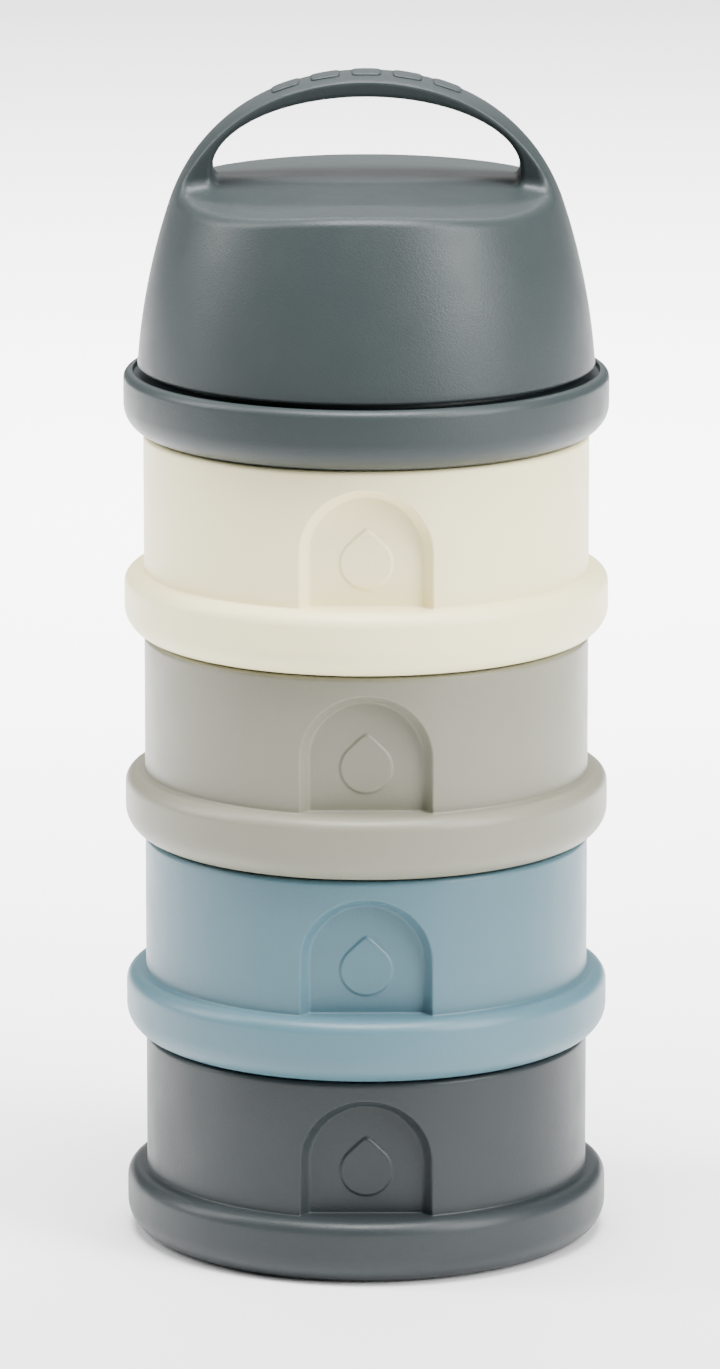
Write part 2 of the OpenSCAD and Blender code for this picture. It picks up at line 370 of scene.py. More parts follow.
def thread_tree():
    tree, sockets = new_tree("screw threads", {
        "Root Radius": "Float",
        "Start Height": "Float",
        "Lead": "Float",
        "Span": "Float",
        "Depth": "Float",
        "Half Height": "Float",
        "Starts": "Int",
        "Finish": "Material",
    })
    nodes, links = tree.nodes, tree.links
    given = nodes.new("NodeGroupInput")
    maths = partial(math_node, tree)
    cuts = 49
    sides = 16
    # A rib is thin at its tips and swells to its full section over an eighth of its run.
    tip = 0.12
    swelling = 7.0

    line = nodes.new("GeometryNodeCurvePrimitiveLine")
    cut = nodes.new("GeometryNodeResampleCurve")
    cut.inputs["Count"].default_value = cuts
    links.new(line.outputs["Curve"], cut.inputs["Curve"])
    along = nodes.new("GeometryNodeSplineParameter").outputs["Factor"]
    angle = maths("MULTIPLY", along, given.outputs["Span"])
    place = nodes.new("ShaderNodeCombineXYZ")
    for slot, op in enumerate(("COSINE", "SINE")):
        across = maths("MULTIPLY", maths(op, angle), given.outputs["Root Radius"])
        links.new(across, place.inputs[slot])
    climb = maths("MULTIPLY", maths("DIVIDE", angle, 2 * math.pi), given.outputs["Lead"])
    links.new(maths("ADD", climb, given.outputs["Start Height"]), place.inputs[2])
    wrap = nodes.new("GeometryNodeSetPosition")
    links.new(cut.outputs["Curve"], wrap.inputs["Geometry"])
    links.new(place.outputs[0], wrap.inputs["Position"])
    upright = nodes.new("GeometryNodeSetCurveNormal")
    upright.mode = "Z_UP"
    links.new(wrap.outputs["Geometry"], upright.inputs["Curve"])
    ends = maths("MINIMUM", along, maths("SUBTRACT", 1.0, along))
    swell = maths("MINIMUM", maths("ADD", maths("MULTIPLY", ends, swelling), tip), 1.0)
    taper = nodes.new("GeometryNodeSetCurveRadius")
    links.new(upright.outputs["Curve"], taper.inputs["Curve"])
    links.new(maths("SQRT", swell), taper.inputs["Radius"])

    section = nodes.new("GeometryNodeCurvePrimitiveCircle")
    section.inputs["Resolution"].default_value = sides
    section.inputs["Radius"].default_value = 1.0
    size = nodes.new("ShaderNodeCombineXYZ")
    links.new(given.outputs["Depth"], size.inputs[0])
    links.new(given.outputs["Half Height"], size.inputs[1])
    size.inputs[2].default_value = 1.0
    oval = nodes.new("GeometryNodeTransform")
    links.new(section.outputs["Curve"], oval.inputs["Geometry"])
    links.new(size.outputs[0], oval.inputs["Scale"])
    rib = nodes.new("GeometryNodeCurveToMesh")
    rib.inputs["Fill Caps"].default_value = True
    links.new(taper.outputs["Curve"], rib.inputs["Curve"])
    links.new(oval.outputs["Geometry"], rib.inputs["Profile Curve"])
    radius = nodes.new("GeometryNodeInputRadius")
    links.new(radius.outputs[0], rib.inputs["Scale"])

    spots = nodes.new("GeometryNodePoints")
    links.new(given.outputs["Starts"], spots.inputs["Count"])
    index = nodes.new("GeometryNodeInputIndex").outputs[0]
    turn = nodes.new("ShaderNodeCombineXYZ")
    share = maths("DIVIDE", index, given.outputs["Starts"])
    links.new(maths("MULTIPLY", share, 2 * math.pi), turn.inputs[2])
    copies = nodes.new("GeometryNodeInstanceOnPoints")
    links.new(spots.outputs[0], copies.inputs["Points"])
    links.new(rib.outputs["Mesh"], copies.inputs["Instance"])
    links.new(turn.outputs[0], copies.inputs["Rotation"])
    real = nodes.new("GeometryNodeRealizeInstances")
    links.new(copies.outputs["Instances"], real.inputs["Geometry"])
    end_tree(tree, given, real.outputs["Geometry"])
    return tree, sockets


def grown(name, tree, sockets, values):
    """Runs a node tree once and keeps what it makes as a plain mesh."""
    seed = bpy.data.objects.new(name + " seed", bpy.data.meshes.new(name + " seed"))
    scene.collection.objects.link(seed)
    modifier = seed.modifiers.new("grow", "NODES")
    modifier.node_group = tree
    for key, value in values.items():
        modifier[sockets[key]] = value
    sight = bpy.context.evaluated_depsgraph_get()
    mesh = bpy.data.meshes.new_from_object(seed.evaluated_get(sight))
    seed.modifiers.remove(modifier)
    bpy.data.objects.remove(seed)
    mesh.name = name
    item = bpy.data.objects.new(name, mesh)
    scene.collection.objects.link(item)
    return item


THREADS, THREAD_SOCKETS = thread_tree()


def threads(name, root_r, start_z, finish):
    return grown(name, THREADS, THREAD_SOCKETS, {
        "Root Radius": root_r * MM,
        "Start Height": start_z * MM,
        "Lead": THREAD_LEAD * MM,
        "Span": math.radians(THREAD_SPAN),
        "Depth": THREAD_DEPTH * MM,
        "Half Height": THREAD_HALF_H * MM,
        "Starts": THREAD_STARTS,
        "Finish": finish,
    })


# Containers


def arch_columns():
    """Close columns across the recess, wide ones round the rest."""
    close_count, wide_count = 161, 122
    x = np.linspace(-ARCH_REACH, ARCH_REACH, close_count)
    close = np.arcsin(x / BODY_R)
    rest = np.linspace(close[-1], 2 * math.pi + close[0], wide_count)[1:-1]
    return np.concatenate([close, rest])


def arch_share(x, z, grow=0.0):
    """1 on the recess's floor, 0 on the body, and a wall between them.

    The wall is steep at its rim and hollow at its foot.
    """
    d = np.where(z > ARCH_CENTRE, np.hypot(x, z - ARCH_CENTRE), np.abs(x)) - ARCH_MID - grow
    t = np.clip(0.5 - d / (2 * ARCH_SLOPE), 0, 1)
    start = math.sqrt(ARCH_SOFT)
    t = (np.sqrt(t * t + ARCH_SOFT) - start) / (math.sqrt(1 + ARCH_SOFT) - start)
    return 1 - (1 - t) ** ARCH_HOLLOW


def drop_share(x, z):
    """1 on the raised drop and 0 beside it."""
    up = z - DROP_CENTRE
    side = np.sqrt(x * x + DROP_TIP)
    d = np.where(up > side, (side + up) / math.sqrt(2), np.hypot(side, up)) - DROP_R
    return smooth_step(0.5 - d / DROP_EDGE)


def container_outline():
    """The outline, and its rows that the recess bends inside and outside.

    It runs from the cup's floor up and over the neck, and down the outside to the underside.
    """
    floor_round = 3
    lip = 0.6
    neck_foot = 0.5
    edge = 0.8
    ring_top = 2.6
    crease = 0.3
    keeper_r = 33.8
    keeper_in_r = 33.0
    wall_rows, cone_rows, body_rows = 24, 5, 142

    rows = [(r, FLOOR_TOP) for r in (0, 9, 18, 26, 32)]
    rows += bend(BODY_IN_R - floor_round, FLOOR_TOP + floor_round, floor_round, -90, 0, 8)
    inside = range(len(rows) - 7, len(rows) + wall_rows + cone_rows + 1)
    rows += straight(rows[-1], (BODY_IN_R, 32.8), wall_rows)
    rows += straight(rows[-1], (NECK_IN_R, 37.1), cone_rows)

    rows += straight(rows[-1], (NECK_IN_R, NECK_TOP - lip), 3)
    rows += bend(NECK_IN_R + lip, NECK_TOP - lip, lip, 180, 90, 4)
    rows += bend(NECK_R - lip, NECK_TOP - lip, lip, 90, 0, 4)
    rows += straight(rows[-1], (NECK_R, SHOULDER + neck_foot), 4)
    rows += bend(NECK_R + neck_foot, SHOULDER + neck_foot, neck_foot, 180, 270, 4)[1:]
    rows += straight(rows[-1], (BODY_R - edge, SHOULDER), 2)
    rows += bend(BODY_R - edge, SHOULDER - edge, edge, 90, 0, 5)[1:]

    outside_start = len(rows)
    rows += straight(rows[-1], (BODY_R, 35.6), 3)
    rows += straight(rows[-1], (BODY_R, RING_H + crease), body_rows)
    rows += bend(BODY_R + crease, RING_H + crease, crease, 180, 270, 3)[1:]
    outside = range(outside_start, len(rows))

    rows += straight(rows[-1], (RING_R - ring_top, RING_H), 2)
    rows += bend(RING_R - ring_top, RING_H - ring_top, ring_top, 90, 0, 12)[1:]
    rows += straight(rows[-1], (RING_R, RING_FOOT), 4)
    rows += bend(RING_R - RING_FOOT, RING_FOOT, RING_FOOT, 0, -90, 14)[1:]
    rows += straight(rows[-1], (SKIRT_R + crease, 0), 1)
    rows += bend(SKIRT_R + crease, crease, crease, 270, 180, 3)[1:]
    rows += straight(rows[-1], (SKIRT_R, FLOOR_Z - crease), 6)

    # The underside, with the keeper ring that holds the seal
    rows += [(SKIRT_R - crease, FLOOR_Z), (36, FLOOR_Z)]
    rows += [(keeper_r, FLOOR_Z), (keeper_r, FLOOR_Z - 0.8), (33.6, FLOOR_Z - 1)]
    rows += [(33.2, FLOOR_Z - 1), (keeper_in_r, FLOOR_Z - 0.8), (keeper_in_r, FLOOR_Z)]
    rows += [(r, FLOOR_Z) for r in (28, 20, 10, 0)]
    return rows, inside, outside


OUTLINE, INSIDE, OUTSIDE = container_outline()
COLUMNS = arch_columns()


def pressed_arch(i, r, ring):
    """Presses the arched recess into the body's front, and its bulge into the cup."""
    if i not in INSIDE and i not in OUTSIDE:
        return ring
    x, depth, z = ring[:, 0], -ring[:, 1], ring[:, 2]
    outer = i in OUTSIDE
    floor = ARCH_FLOOR + r - BODY_R if outer else ARCH_FLOOR - WALL
    share = arch_share(x, z, 0 if outer else BULGE_WIDER)
    depth = depth - share * np.maximum(depth - floor, 0)
    if outer:
        depth = depth + DROP_T * drop_share(x, z) * (ring[:, 1] < 0)
    ring[:, 1] = -depth
    return ring


def container(name, body, index, finish):
    base = index * PITCH
    points, faces = lathe(OUTLINE, COLUMNS, base, pressed_arch)
    shell = add_piece(name + "_moulding", points, faces, finish)
    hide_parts(name)
    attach(shell, body)
    for part, root, start in (
        ("neck_threads", NECK_R, PITCH + THREAD_UP),
        ("skirt_threads", SKIRT_R, THREAD_UP - THREAD_DROP),
    ):
        ribs = threads(f"{name}_{part}", root, base + start, finish)
        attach(ribs, body)


container("container_grey", "grey_container", 0, GREY)
container("container_blue", "blue_container", 1, BLUE)
container("container_taupe", "taupe_container", 2, TAUPE)
container("container_cream", "cream_container", 3, CREAM)


# Seals


def ring_seal(name, body, index):
    r = 0.4
    rows = bend(SEAL_OUT_R - r, r, r, -90, 0, 4) + bend(SEAL_OUT_R - r, SEAL_T - r, r, 0, 90, 4)
    groove = ((37.0, 0), (36.7, 0.15), (36.0, 0.15), (35.7, 0))
    rows += [(groove_r, SEAL_T - deep) for groove_r, deep in groove]
    rows += bend(SEAL_IN_R + r, SEAL_T - r, r, 90, 180, 4)
    rows += bend(SEAL_IN_R + r, r, r, 180, 270, 4)
    points, faces = lathe(rows, even_columns(160), index * PITCH + SEAL_Z)
    seal = add_piece(name + "_ring", points, faces, SILICONE)
    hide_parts(name)
    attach(seal, body)


ring_seal("seal_grey", "grey_container", 0)
ring_seal("seal_blue", "blue_seal", 1)
ring_seal("seal_taupe", "taupe_seal", 2)
ring_seal("seal_cream", "cream_seal", 3)
ring_seal("spout_seal", "spout_seal", 4)


def plug():
    """The mouth's plug, from the top of the mouth: its body, its flange and the knob on top."""
    top = SEAL_T + 3
    knob_r = 12.8
    flange_r = 15.5
    soft, crisp = 0.5, 0.4
    rows = [(0, -1.4), (6, -1.4), (9.6, -1.6)] + bend(10.9, -1.5, soft, -90, 0, 4)
    rows += straight(rows[-1], (11.4, -0.3), 2) + [(11.6, 0)]
    rows += bend(flange_r - crisp, crisp, crisp, -90, 0, 3)
    rows += bend(flange_r - crisp, SEAL_T - crisp, crisp, 0, 90, 3)
    rows += [(knob_r + 0.3, SEAL_T), (knob_r, SEAL_T + 0.3)]
    rows += bend(knob_r - soft, top - soft, soft, 0, 90, 4)
    rows += [(9, top), (0, top)]
    points, faces = lathe(rows, even_columns(128), SPOUT_Z + MOUTH_TOP)
    item = add_piece("cap_seal_plug", points, faces, SILICONE)
    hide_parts("cap_seal")
    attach(item, "cap_seal")


plug()


# Spout


def spout():
    """The collar, its deck and neck, the cone inside the neck and the mouth at its top."""
    collar_round = 1.6
    corner = 0.5
    lip_round = 0.4
    neck_in = SPOUT_NECK_R - WALL
    foot = 10.5
    cone_top = 28.0
    slope = (cone_top - foot) / (NECK_IN_R - MOUTH_R)
    rise = WALL / math.cos(math.atan(slope))
    lip_r = MOUTH_R + 1.8
    rows = bend(RING_R - RING_FOOT, RING_FOOT, RING_FOOT, -90, 0, 14)
    rows += bend(RING_R - collar_round, COLLAR_H - collar_round, collar_round, 0, 90, 10)
    rows += bend(STEP_R + 0.15, COLLAR_H - 0.15, 0.15, 90, 180, 2)
    rows += [(STEP_R, FLOOR_TOP + 0.2), (STEP_R - 0.2, FLOOR_TOP), (41, FLOOR_TOP)]
    rows += bend(SPOUT_NECK_R + corner, FLOOR_TOP + corner, corner, 270, 180, 3)
    rows += straight(rows[-1], (SPOUT_NECK_R, SPOUT_NECK_TOP - corner), 5)
    rows += bend(SPOUT_NECK_R - corner, SPOUT_NECK_TOP - corner, corner, 0, 90, 3)[1:]
    rows += bend(neck_in + corner, SPOUT_NECK_TOP - corner, corner, 90, 180, 3)
    low = foot + rise - slope * (neck_in - NECK_IN_R)
    high = cone_top + rise - slope * (lip_r - MOUTH_R)
    rows += straight(rows[-1], (neck_in, low + 0.6), 5)
    rows += [(neck_in - 0.15, low + 0.2), (neck_in - 0.6, low + 0.6 * slope)]
    rows += straight(rows[-1], (lip_r + 0.6, high - 0.6 * slope), 12)
    rows += [(lip_r + 0.15, high), (lip_r, high + 0.5)]
    rows += straight(rows[-1], (lip_r, MOUTH_TOP - 1.6), 2)
    # The rolled lip stands out a little past the wall below it.
    rolled = ((0.25, 1.3), (0.4, 0.9), (0.3, 0.4))
    rows += [(lip_r + out, MOUTH_TOP - down) for out, down in rolled]
    rows += bend(lip_r - corner, MOUTH_TOP - corner, corner, 45, 90, 3)
    rows += bend(MOUTH_R + lip_round, MOUTH_TOP - lip_round, lip_round, 90, 180, 3)
    rows += straight(rows[-1], (MOUTH_R, cone_top + 0.3), 3)
    rows += [(MOUTH_R + 0.2, cone_top - 0.3)]
    rows += straight(rows[-1], (NECK_IN_R - 0.3, foot + 0.3), 12)
    rows += [(NECK_IN_R, foot), (NECK_IN_R, FLOOR_Z), (36.5, FLOOR_Z), (SKIRT_R - 0.3, FLOOR_Z)]
    rows += straight((SKIRT_R, FLOOR_Z - 0.3), (SKIRT_R, 0.3), 6)
    rows += [(SKIRT_R + 0.1, 0.1), (SKIRT_R + 0.3, 0)]
    points, faces = lathe(rows, even_columns(240), SPOUT_Z)
    item = add_piece("spout_moulding", points, faces, SLATE)
    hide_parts("spout")
    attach(item, "spout")
    for part, root, start in (
        ("neck_threads", SPOUT_NECK_R, RIM_UP + THREAD_UP),
        ("skirt_threads", SKIRT_R, THREAD_UP - THREAD_DROP),
    ):
        ribs = threads(f"spout_{part}", root, SPOUT_Z + start, SLATE)
        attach(ribs, "spout")


spout()


# Cap: the top is one smooth skin worked out from a field, the rest is turned


def dome_gap(x, y, z):
    """Distance outside the dome's three arcs."""
    r = np.hypot(x, y)
    side = np.hypot(r - SIDE_C[0], z - SIDE_C[1]) - SIDE_R
    shoulder = np.hypot(r - SHOULDER_C[0], z - SHOULDER_C[1]) - SHOULDER_R
    crown = np.hypot(r, z - CROWN_Z) - CROWN_R
    on_side = np.arctan2(z - SIDE_C[1], r - SIDE_C[0]) < SIDE_ANGLE
    on_shoulder = np.arctan2(z - SHOULDER_C[1], r - SHOULDER_C[0]) < SHOULDER_ANGLE
    return np.where(on_side, side, np.where(on_shoulder, shoulder, crown))


def rounded_both(a, b, r):
    """Inside both shapes, with the edge between them rounded."""
    corner = np.hypot(np.maximum(a + r, 0), np.maximum(b + r, 0))
    return np.minimum(np.maximum(a, b), -r) + corner


def rounded_either(a, b, r):
    """Inside either shape, with the corner between them filled."""
    corner = np.hypot(np.maximum(r - a, 0), np.maximum(r - b, 0))
    return np.maximum(np.minimum(a, b), r) - corner


def gap_inside(x, z):
    """Negative in the finger gap, seen from the front."""
    up = np.maximum(z - GAP_WIDE_Z, 0)
    far = np.sqrt((x / GAP_HALF) ** 2 + (up / GAP_RISE) ** 2) + 1e-6
    steep = np.sqrt((x / GAP_HALF**2) ** 2 + (up / GAP_RISE**2) ** 2) + 1e-6
    return far * (far - 1) / steep


def cap_field(x, y, z):
    """Negative inside the cap, taken as if it had no hollow."""
    dome = dome_gap(x, y, z)
    ridge_soft = 0.09
    roof = z - (ROOF_Z - ROOF_FALL * (np.sqrt(y * y + ridge_soft)) - ROOF_CROWN * x * x)
    # The front shelf falls away a little more, most of all towards its ends.
    ahead = -y - SHELF_START
    bend_soft = 0.6
    shelf = SHELF_FALL + SHELF_END_FALL * x * x
    roof = roof + shelf * (ahead + np.sqrt(ahead * ahead + bend_soft)) / SHELF_LENGTH
    # The strap's sides draw in towards its underside.
    strap_round = 0.9
    side = (np.abs(y) - STRAP_HALF - STRAP_DRAFT * dome) / math.hypot(1, STRAP_DRAFT)
    strap = rounded_both(side, -gap_inside(x, z), strap_round)
    # The fillet at the strap's foot is larger off the middle.
    fillet = 1.6 + 1.0 * smooth_step((np.abs(y) - 4) / 5)
    above = rounded_either(roof, strap, fillet)
    # The dome's edge is crisp along the strap and rounder round the shelves.
    edge = 0.6 + 0.8 * smooth_step((203 - z) / 3)
    return rounded_both(dome, above, edge)


def slope_of(field, p, step=0.02):
    """The field's gradient at the points."""
    out = np.empty_like(p)
    for i in range(3):
        d = np.zeros(3)
        d[i] = step
        out[:, i] = field(*(p + d).T) - field(*(p - d).T)
    return out / (2 * step)


def skin(field, xs, ys, zs):
    """A skin where the field is 0, with one point a cell, left open along its lowest layer."""
    settle_rounds = 4
    longest_move = 0.3
    least_slope = 0.05
    gx, gy, gz = np.meshgrid(xs, ys, zs, indexing="ij")
    value = field(gx, gy, gz)
    solid = value < 0
    nx, ny, nz = (len(v) - 1 for v in (xs, ys, zs))
    corners = [(i, j, k) for i in (0, 1) for j in (0, 1) for k in (0, 1)]
    count = np.zeros((nx, ny, nz), int)
    for i, j, k in corners:
        count += solid[i:nx + i, j:ny + j, k:nz + k]
    active = (count > 0) & (count < 8)
    number = np.full(active.shape, -1)
    number[active] = np.arange(active.sum())
    ci, cj, ck = np.nonzero(active)
    total = np.zeros((len(ci), 3))
    hits = np.zeros(len(ci))
    axes = (xs, ys, zs)
    for a in corners:
        for axis in range(3):
            if a[axis]:
                continue
            b = list(a)
            b[axis] = 1
            ia = (ci + a[0], cj + a[1], ck + a[2])
            ib = (ci + b[0], cj + b[1], ck + b[2])
            va, vb = value[ia], value[ib]
            cross = (va < 0) != (vb < 0)
            t = np.where(cross, va / np.where(va == vb, 1, va - vb), 0)
            pa = np.stack([axes[n][ia[n]] for n in range(3)], 1)
            pb = np.stack([axes[n][ib[n]] for n in range(3)], 1)
            total += np.where(cross[:, None], pa + (pb - pa) * t[:, None], 0)
            hits += cross
    points = total / hits[:, None]
    # Each point settles onto the surface along the gradient.
    for _ in range(settle_rounds):
        g = slope_of(field, points)
        f = field(*points.T)
        move = np.clip(f / np.maximum((g**2).sum(1), least_slope), -longest_move, longest_move)
        points = points - move[:, None] * g
    faces = []
    for axis in range(3):
        u, v = [n for n in range(3) if n != axis]
        low = [slice(None)] * 3
        high = [slice(None)] * 3
        low[axis] = slice(0, -1)
        high[axis] = slice(1, None)
        a, b = solid[tuple(low)], solid[tuple(high)]
        e = list(np.nonzero(a != b))
        size = (nx, ny, nz)
        keep = (e[u] > 0) & (e[u] < size[u]) & (e[v] > 0) & (e[v] < size[v])
        e = [w[keep] for w in e]
        inward = a[tuple(e)]
        quad = []
        for du, dv in ((1, 1), (0, 1), (0, 0), (1, 0)):
            cell = list(e)
            cell[u] = e[u] - du
            cell[v] = e[v] - dv
            quad.append(number[tuple(cell)])
        quad = np.stack(quad, 1)
        turn = inward if axis != 1 else ~inward
        quad = np.where(turn[:, None], quad, quad[:, ::-1])
        faces.append(quad)
    return points, np.vstack(faces)


def open_edge(faces):
    """The points round the skin's open edge, in order."""
    a = faces
    b = np.roll(faces, -1, 1)
    directed = set(zip(a.ravel().tolist(), b.ravel().tolist()))
    after = {p: q for p, q in directed if (q, p) not in directed}
    start = next(iter(after))
    loop = [start]
    while after[loop[-1]] != start:
        loop.append(after[loop[-1]])
    return loop


def cap_under():
    """The outline from just under the skin down the dome, round the rim and up to the axis."""
    top_z = 189.0
    rim_round = 0.7
    bore_round = 0.5
    boss_r, boss_in_r = 16, 13.2
    boss_z = SPOUT_Z + 33.5
    rows = []
    first = math.degrees(math.asin((RIM_Z + rim_round - SIDE_C[1]) / SIDE_R))
    last = math.degrees(SIDE_ANGLE)
    reach = math.degrees(math.asin((top_z - SIDE_C[1]) / SIDE_R))
    rows += bend(*SIDE_C, SIDE_R, reach, first, 26)
    edge = rows[-1]
    rows += bend(edge[0] - rim_round, edge[1], rim_round, 0, -90, 6)[1:]
    rows += [(BORE_R + 0.8, RIM_Z)]
    rows += bend(BORE_R + bore_round, RIM_Z + bore_round, bore_round, 270, 180, 3)
    rows += straight(rows[-1], (BORE_R, SPOUT_Z + 22), 6)

    # The inside of the dome, one wall in from the skin
    inner = SIDE_R - WALL
    start = math.degrees(math.asin((SPOUT_Z + 24 - SIDE_C[1]) / inner))
    rows += bend(*SIDE_C, inner, start, last, 8)
    inner = SHOULDER_R - WALL
    stop = math.degrees(math.asin((ROOF_UNDER - 1 - SHOULDER_C[1]) / inner))
    rows += bend(*SHOULDER_C, inner, last, stop, 6)[1:]
    rows += [(rows[-1][0] - 0.6, ROOF_UNDER - 0.3), (rows[-1][0] - 1.6, ROOF_UNDER)]

    # The boss that holds the plug
    rows += straight(rows[-1], (boss_r + 0.5, ROOF_UNDER), 5)
    rows += [(16.1, ROOF_UNDER - 0.1), (boss_r, ROOF_UNDER - 0.5)]
    rows += straight(rows[-1], (boss_r, SPOUT_Z + 33.9), 4)
    rows += [(15.8, SPOUT_Z + 33.6), (15.5, boss_z), (13.6, boss_z)]
    rows += [(boss_in_r, SPOUT_Z + 33.9)]
    rows += straight(rows[-1], (boss_in_r, ROOF_UNDER - 0.3), 4)
    rows += [(12.9, ROOF_UNDER), (6, ROOF_UNDER), (0, ROOF_UNDER)]
    return rows


def stitched(loop, angle, ring, columns):
    """Triangles between the skin's open edge and the turned part's first ring, by angle."""
    m = len(columns)
    n = len(loop)
    ahead = (columns - angle[0] + math.pi) % (2 * math.pi) - math.pi
    start = int(np.argmin(np.abs(ahead)))
    ring = np.roll(ring, -start)
    turn = 2 * math.pi / m
    base = angle[0] + ahead[start]
    faces = []
    i = j = 0
    while i < n or j < m:
        next_i = angle[i + 1] if i + 1 < n else angle[0] + 2 * math.pi
        next_j = base + turn * (j + 1)
        if j >= m or (i < n and next_i <= next_j):
            faces.append((loop[i % n], int(ring[j % m]), loop[(i + 1) % n]))
            i += 1
        else:
            faces.append((loop[i % n], int(ring[j % m]), int(ring[(j + 1) % m])))
            j += 1
    return faces


def facing(points, faces, way):
    """The faces, all turned over if the first one faces against way at its first point."""
    a, b, c = (points[v] for v in faces[0][:3])
    if np.dot(np.cross(b - a, c - a), way(a)) < 0:
        return [f[::-1] for f in faces]
    return faces


def cap():
    step = 0.44
    grid_half = 43.8
    skin_low, skin_high = 190.0, 220.6
    # This keeps the grid's planes off the cap's planes of symmetry.
    off_centre = 0.013
    xs = np.arange(-grid_half, grid_half + step, step) + off_centre
    zs = np.arange(skin_low, skin_high, step)
    top, quads = skin(cap_field, xs, xs, zs)
    loop = open_edge(quads)
    columns = even_columns(240)
    low, low_faces = lathe(cap_under(), columns, 0)
    shift = len(top)
    points = np.vstack([top, low])

    angle = np.unwrap(np.arctan2(top[loop, 0], -top[loop, 1]))
    if angle[-1] < angle[0]:
        loop, angle = loop[::-1], angle[::-1]
    ring = np.arange(len(columns)) + shift
    stitch = stitched(loop, angle, ring, columns)
    upper = [tuple(q) for q in quads.tolist()]
    lower = [tuple(v + shift for v in f) for f in low_faces]
    everything = facing(points, upper, lambda a: slope_of(cap_field, a[None])[0])
    everything += facing(points, stitch, lambda a: [a[0], a[1], 0])
    everything += facing(points, lower, lambda a: [a[0], a[1], 0])

    # The skin's shading follows the field, and the rest keeps what its own faces give.
    draft = bpy.data.meshes.new("draft")
    draft.from_pydata((points * MM).tolist(), [], everything)
    normals = np.empty(len(points) * 3, np.float32)
    draft.vertex_normals.foreach_get("vector", normals)
    normals = normals.reshape(-1, 3)
    bpy.data.meshes.remove(draft)
    g = slope_of(cap_field, top, 0.05)
    normals[:shift] = g / np.linalg.norm(g, axis=1)[:, None]
    item = add_piece("cap_moulding", points, everything, SLATE, normals.tolist())
    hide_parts("cap")
    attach(item, "cap")
    ribs = threads("cap_threads", BORE_R, RIM_Z + THREAD_UP - THREAD_DROP, SLATE)
    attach(ribs, "cap")


cap()


# Grip pads, a row of soft-edged pads laid over the strap's crown


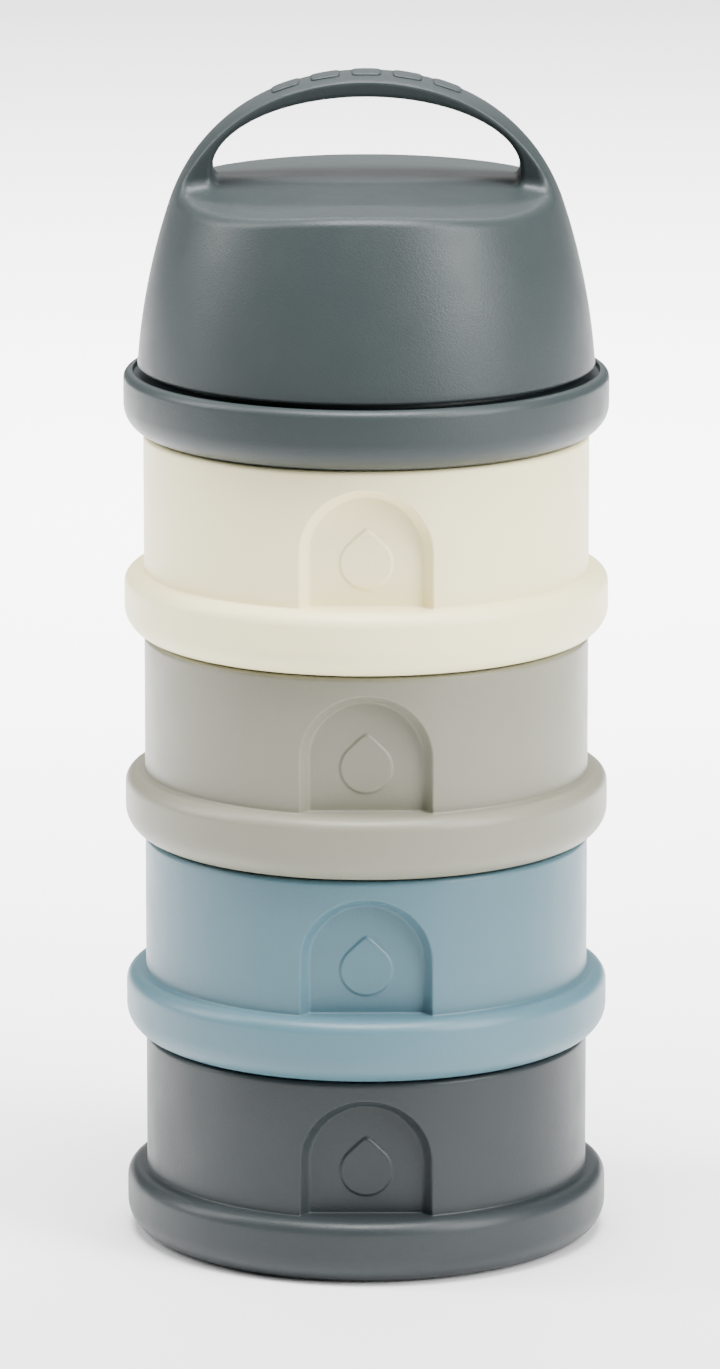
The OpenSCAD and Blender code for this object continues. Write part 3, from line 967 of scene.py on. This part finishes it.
def pad_tree():
    tree, sockets = new_tree("grip pads", {
        "Pads": "Int",
        "Spacing": "Float",
        "Length": "Float",
        "Width": "Float",
        "Height": "Float",
        "Crown Radius": "Float",
        "Crown Centre": "Float",
        "Finish": "Material",
    })
    nodes, links = tree.nodes, tree.links
    given = nodes.new("NodeGroupInput")
    maths = partial(math_node, tree)
    squareness = 6.0
    rim_power, rim_fall = 10.0, 0.45

    # One pad: a finely divided block of half size 1, shaped into a pillow.
    slab = nodes.new("GeometryNodeMeshCube")
    slab.inputs["Size"].default_value = (2, 2, 2)
    for key, value in (("Vertices X", 25), ("Vertices Y", 31), ("Vertices Z", 7)):
        slab.inputs[key].default_value = value
    at = nodes.new("GeometryNodeInputPosition")
    split = nodes.new("ShaderNodeSeparateXYZ")
    links.new(at.outputs[0], split.inputs[0])
    px, py, pz = (split.outputs[n] for n in range(3))
    # Each square outline in the pad is drawn in to a superellipse, which rounds its corners.
    across, along = maths("ABSOLUTE", px), maths("ABSOLUTE", py)
    powers = maths("ADD", maths("POWER", across, squareness), maths("POWER", along, squareness))
    norm = maths("POWER", maths("ADD", powers, 1e-9), 1.0 / squareness)
    largest = maths("MAXIMUM", across, along)
    draw_in = maths("DIVIDE", largest, norm)
    # Edges are rounded by a fall towards the rim.
    rim = maths("POWER", largest, rim_power)
    top = maths("MULTIPLY", pz, maths("SUBTRACT", 1.0, maths("MULTIPLY", rim, rim_fall)))
    half_length = maths("MULTIPLY", given.outputs["Length"], 0.5)
    half_width = maths("MULTIPLY", given.outputs["Width"], 0.5)
    flat_x = maths("MULTIPLY", maths("MULTIPLY", px, draw_in), half_length)
    flat_y = maths("MULTIPLY", maths("MULTIPLY", py, draw_in), half_width)
    flat_z = maths("MULTIPLY", top, given.outputs["Height"])
    place = nodes.new("ShaderNodeCombineXYZ")
    links.new(flat_x, place.inputs[0])
    links.new(flat_y, place.inputs[1])
    links.new(flat_z, place.inputs[2])
    pillow = nodes.new("GeometryNodeSetPosition")
    links.new(slab.outputs["Mesh"], pillow.inputs["Geometry"])
    links.new(place.outputs[0], pillow.inputs["Position"])

    # The row of pads
    row = nodes.new("GeometryNodeMeshLine")
    links.new(given.outputs["Pads"], row.inputs["Count"])
    offset = nodes.new("ShaderNodeCombineXYZ")
    links.new(given.outputs["Spacing"], offset.inputs[0])
    links.new(offset.outputs[0], row.inputs["Offset"])
    start = nodes.new("ShaderNodeCombineXYZ")
    half = maths("MULTIPLY", maths("SUBTRACT", given.outputs["Pads"], 1.0), -0.5)
    links.new(maths("MULTIPLY", half, given.outputs["Spacing"]), start.inputs[0])
    links.new(start.outputs[0], row.inputs["Start Location"])
    copies = nodes.new("GeometryNodeInstanceOnPoints")
    links.new(row.outputs["Mesh"], copies.inputs["Points"])
    links.new(pillow.outputs["Geometry"], copies.inputs["Instance"])
    real = nodes.new("GeometryNodeRealizeInstances")
    links.new(copies.outputs["Instances"], real.inputs["Geometry"])

    # Laid over the crown, square to its surface
    at_row = nodes.new("GeometryNodeInputPosition")
    split_row = nodes.new("ShaderNodeSeparateXYZ")
    links.new(at_row.outputs[0], split_row.inputs[0])
    qx, qy, qz = (split_row.outputs[n] for n in range(3))
    reach = maths("ADD", given.outputs["Crown Radius"], qz)
    tip = maths("DIVIDE", qx, given.outputs["Crown Radius"])
    roll = maths("DIVIDE", qy, given.outputs["Crown Radius"])
    lay = nodes.new("ShaderNodeCombineXYZ")
    sideways = maths("MULTIPLY", maths("SINE", tip), maths("COSINE", roll))
    links.new(maths("MULTIPLY", reach, sideways), lay.inputs[0])
    links.new(maths("MULTIPLY", reach, maths("SINE", roll)), lay.inputs[1])
    up = maths("MULTIPLY", reach, maths("MULTIPLY", maths("COSINE", tip), maths("COSINE", roll)))
    links.new(maths("ADD", up, given.outputs["Crown Centre"]), lay.inputs[2])
    laid = nodes.new("GeometryNodeSetPosition")
    links.new(real.outputs["Geometry"], laid.inputs["Geometry"])
    links.new(lay.outputs[0], laid.inputs["Position"])
    end_tree(tree, given, laid.outputs["Geometry"])
    return tree, sockets


PAD_TREE, PAD_SOCKETS = pad_tree()
pads = grown("cap_grip_pads", PAD_TREE, PAD_SOCKETS, {
    "Pads": 5,
    "Spacing": 7.6 * MM,
    "Length": 5.4 * MM,
    "Width": 7.4 * MM,
    "Height": 0.35 * MM,
    "Crown Radius": CROWN_R * MM,
    "Crown Centre": CROWN_Z * MM,
    "Finish": SLATE,
})
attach(pads, "cap")


# Floor, light and surroundings, in metres

FLOOR_HALF = 4.0


def floor():
    mesh = bpy.data.meshes.new("floor")
    s = FLOOR_HALF
    mesh.from_pydata([(-s, -s, 0), (s, -s, 0), (s, s, 0), (-s, s, 0)], [], [(0, 1, 2, 3)])
    pale = bpy.data.materials.new("pale floor")
    pale.use_nodes = True
    t = pale.node_tree
    shader = t.nodes["Principled BSDF"]
    shader.inputs["Roughness"].default_value = 0.8
    coord = t.nodes.new("ShaderNodeTexCoord")
    mix = t.nodes.new("ShaderNodeMix")
    mix.data_type = "RGBA"
    mix.inputs["A"].default_value = (0.92, 0.92, 0.92, 1)
    mix.inputs["B"].default_value = (0.95, 0.95, 0.95, 1)
    wire(t, noise(t, coord, 6, 3), "Fac", mix, "Factor")
    # The floor fades to grey in front of the object, so that it throws back less light.
    place = t.nodes.new("ShaderNodeSeparateXYZ")
    wire(t, coord, "Object", place, "Vector")
    fade = t.nodes.new("ShaderNodeMapRange")
    fade.interpolation_type = "SMOOTHSTEP"
    for key, value in (
        ("From Min", -0.75),
        ("From Max", -0.12),
        ("To Min", 0.22),
        ("To Max", 1.0),
    ):
        fade.inputs[key].default_value = value
    wire(t, place, "Y", fade, "Value")
    shade = t.nodes.new("ShaderNodeVectorMath")
    shade.operation = "SCALE"
    wire(t, mix, "Result", shade, "Vector")
    wire(t, fade, "Result", shade, "Scale")
    wire(t, shade, "Vector", shader, "Base Color")
    mesh.materials.append(pale)
    item = bpy.data.objects.new("floor", mesh)
    scene.collection.objects.link(item)


def softbox(name, azimuth, distance, z, aim, width, height, power):
    """A panel at a height z, aimed at a point. Azimuth 0 is in front, positive to the right."""
    data = bpy.data.lights.new(name, "AREA")
    data.shape = "RECTANGLE"
    data.size = width
    data.size_y = height
    data.energy = power
    item = bpy.data.objects.new(name, data)
    scene.collection.objects.link(item)
    a = math.radians(azimuth)
    item.location = (math.sin(a) * distance, -math.cos(a) * distance, z)
    item.rotation_euler = (Vector(aim) - item.location).to_track_quat("-Z", "Y").to_euler()


floor()
softbox("left panel", -94, 1.4, 1.1, (0, 0, 0.3), 0.4, 1.4, 32)
softbox("right panel", 55, 1.6, 1.1, (0, 0, 0.4), 0.7, 1.7, 70)
softbox("top panel", 0, 0.3, 1.5, (0, 0, 0.11), 0.9, 0.6, 54)
softbox("back panel", 180, 2.4, 0.75, (0, 0, 0.2), 1.4, 0.8, 2.5)
# This one lights only the floor behind the object.
softbox("sweep light", 180, 0.6, 0.9, (0, 1.5, 0), 0.8, 0.6, 76)

world = bpy.data.worlds.new("room")
scene.world = world
world.use_nodes = True
surroundings = world.node_tree.nodes["Background"]
surroundings.inputs["Color"].default_value = (1, 1, 1, 1)
surroundings.inputs["Strength"].default_value = 0.13
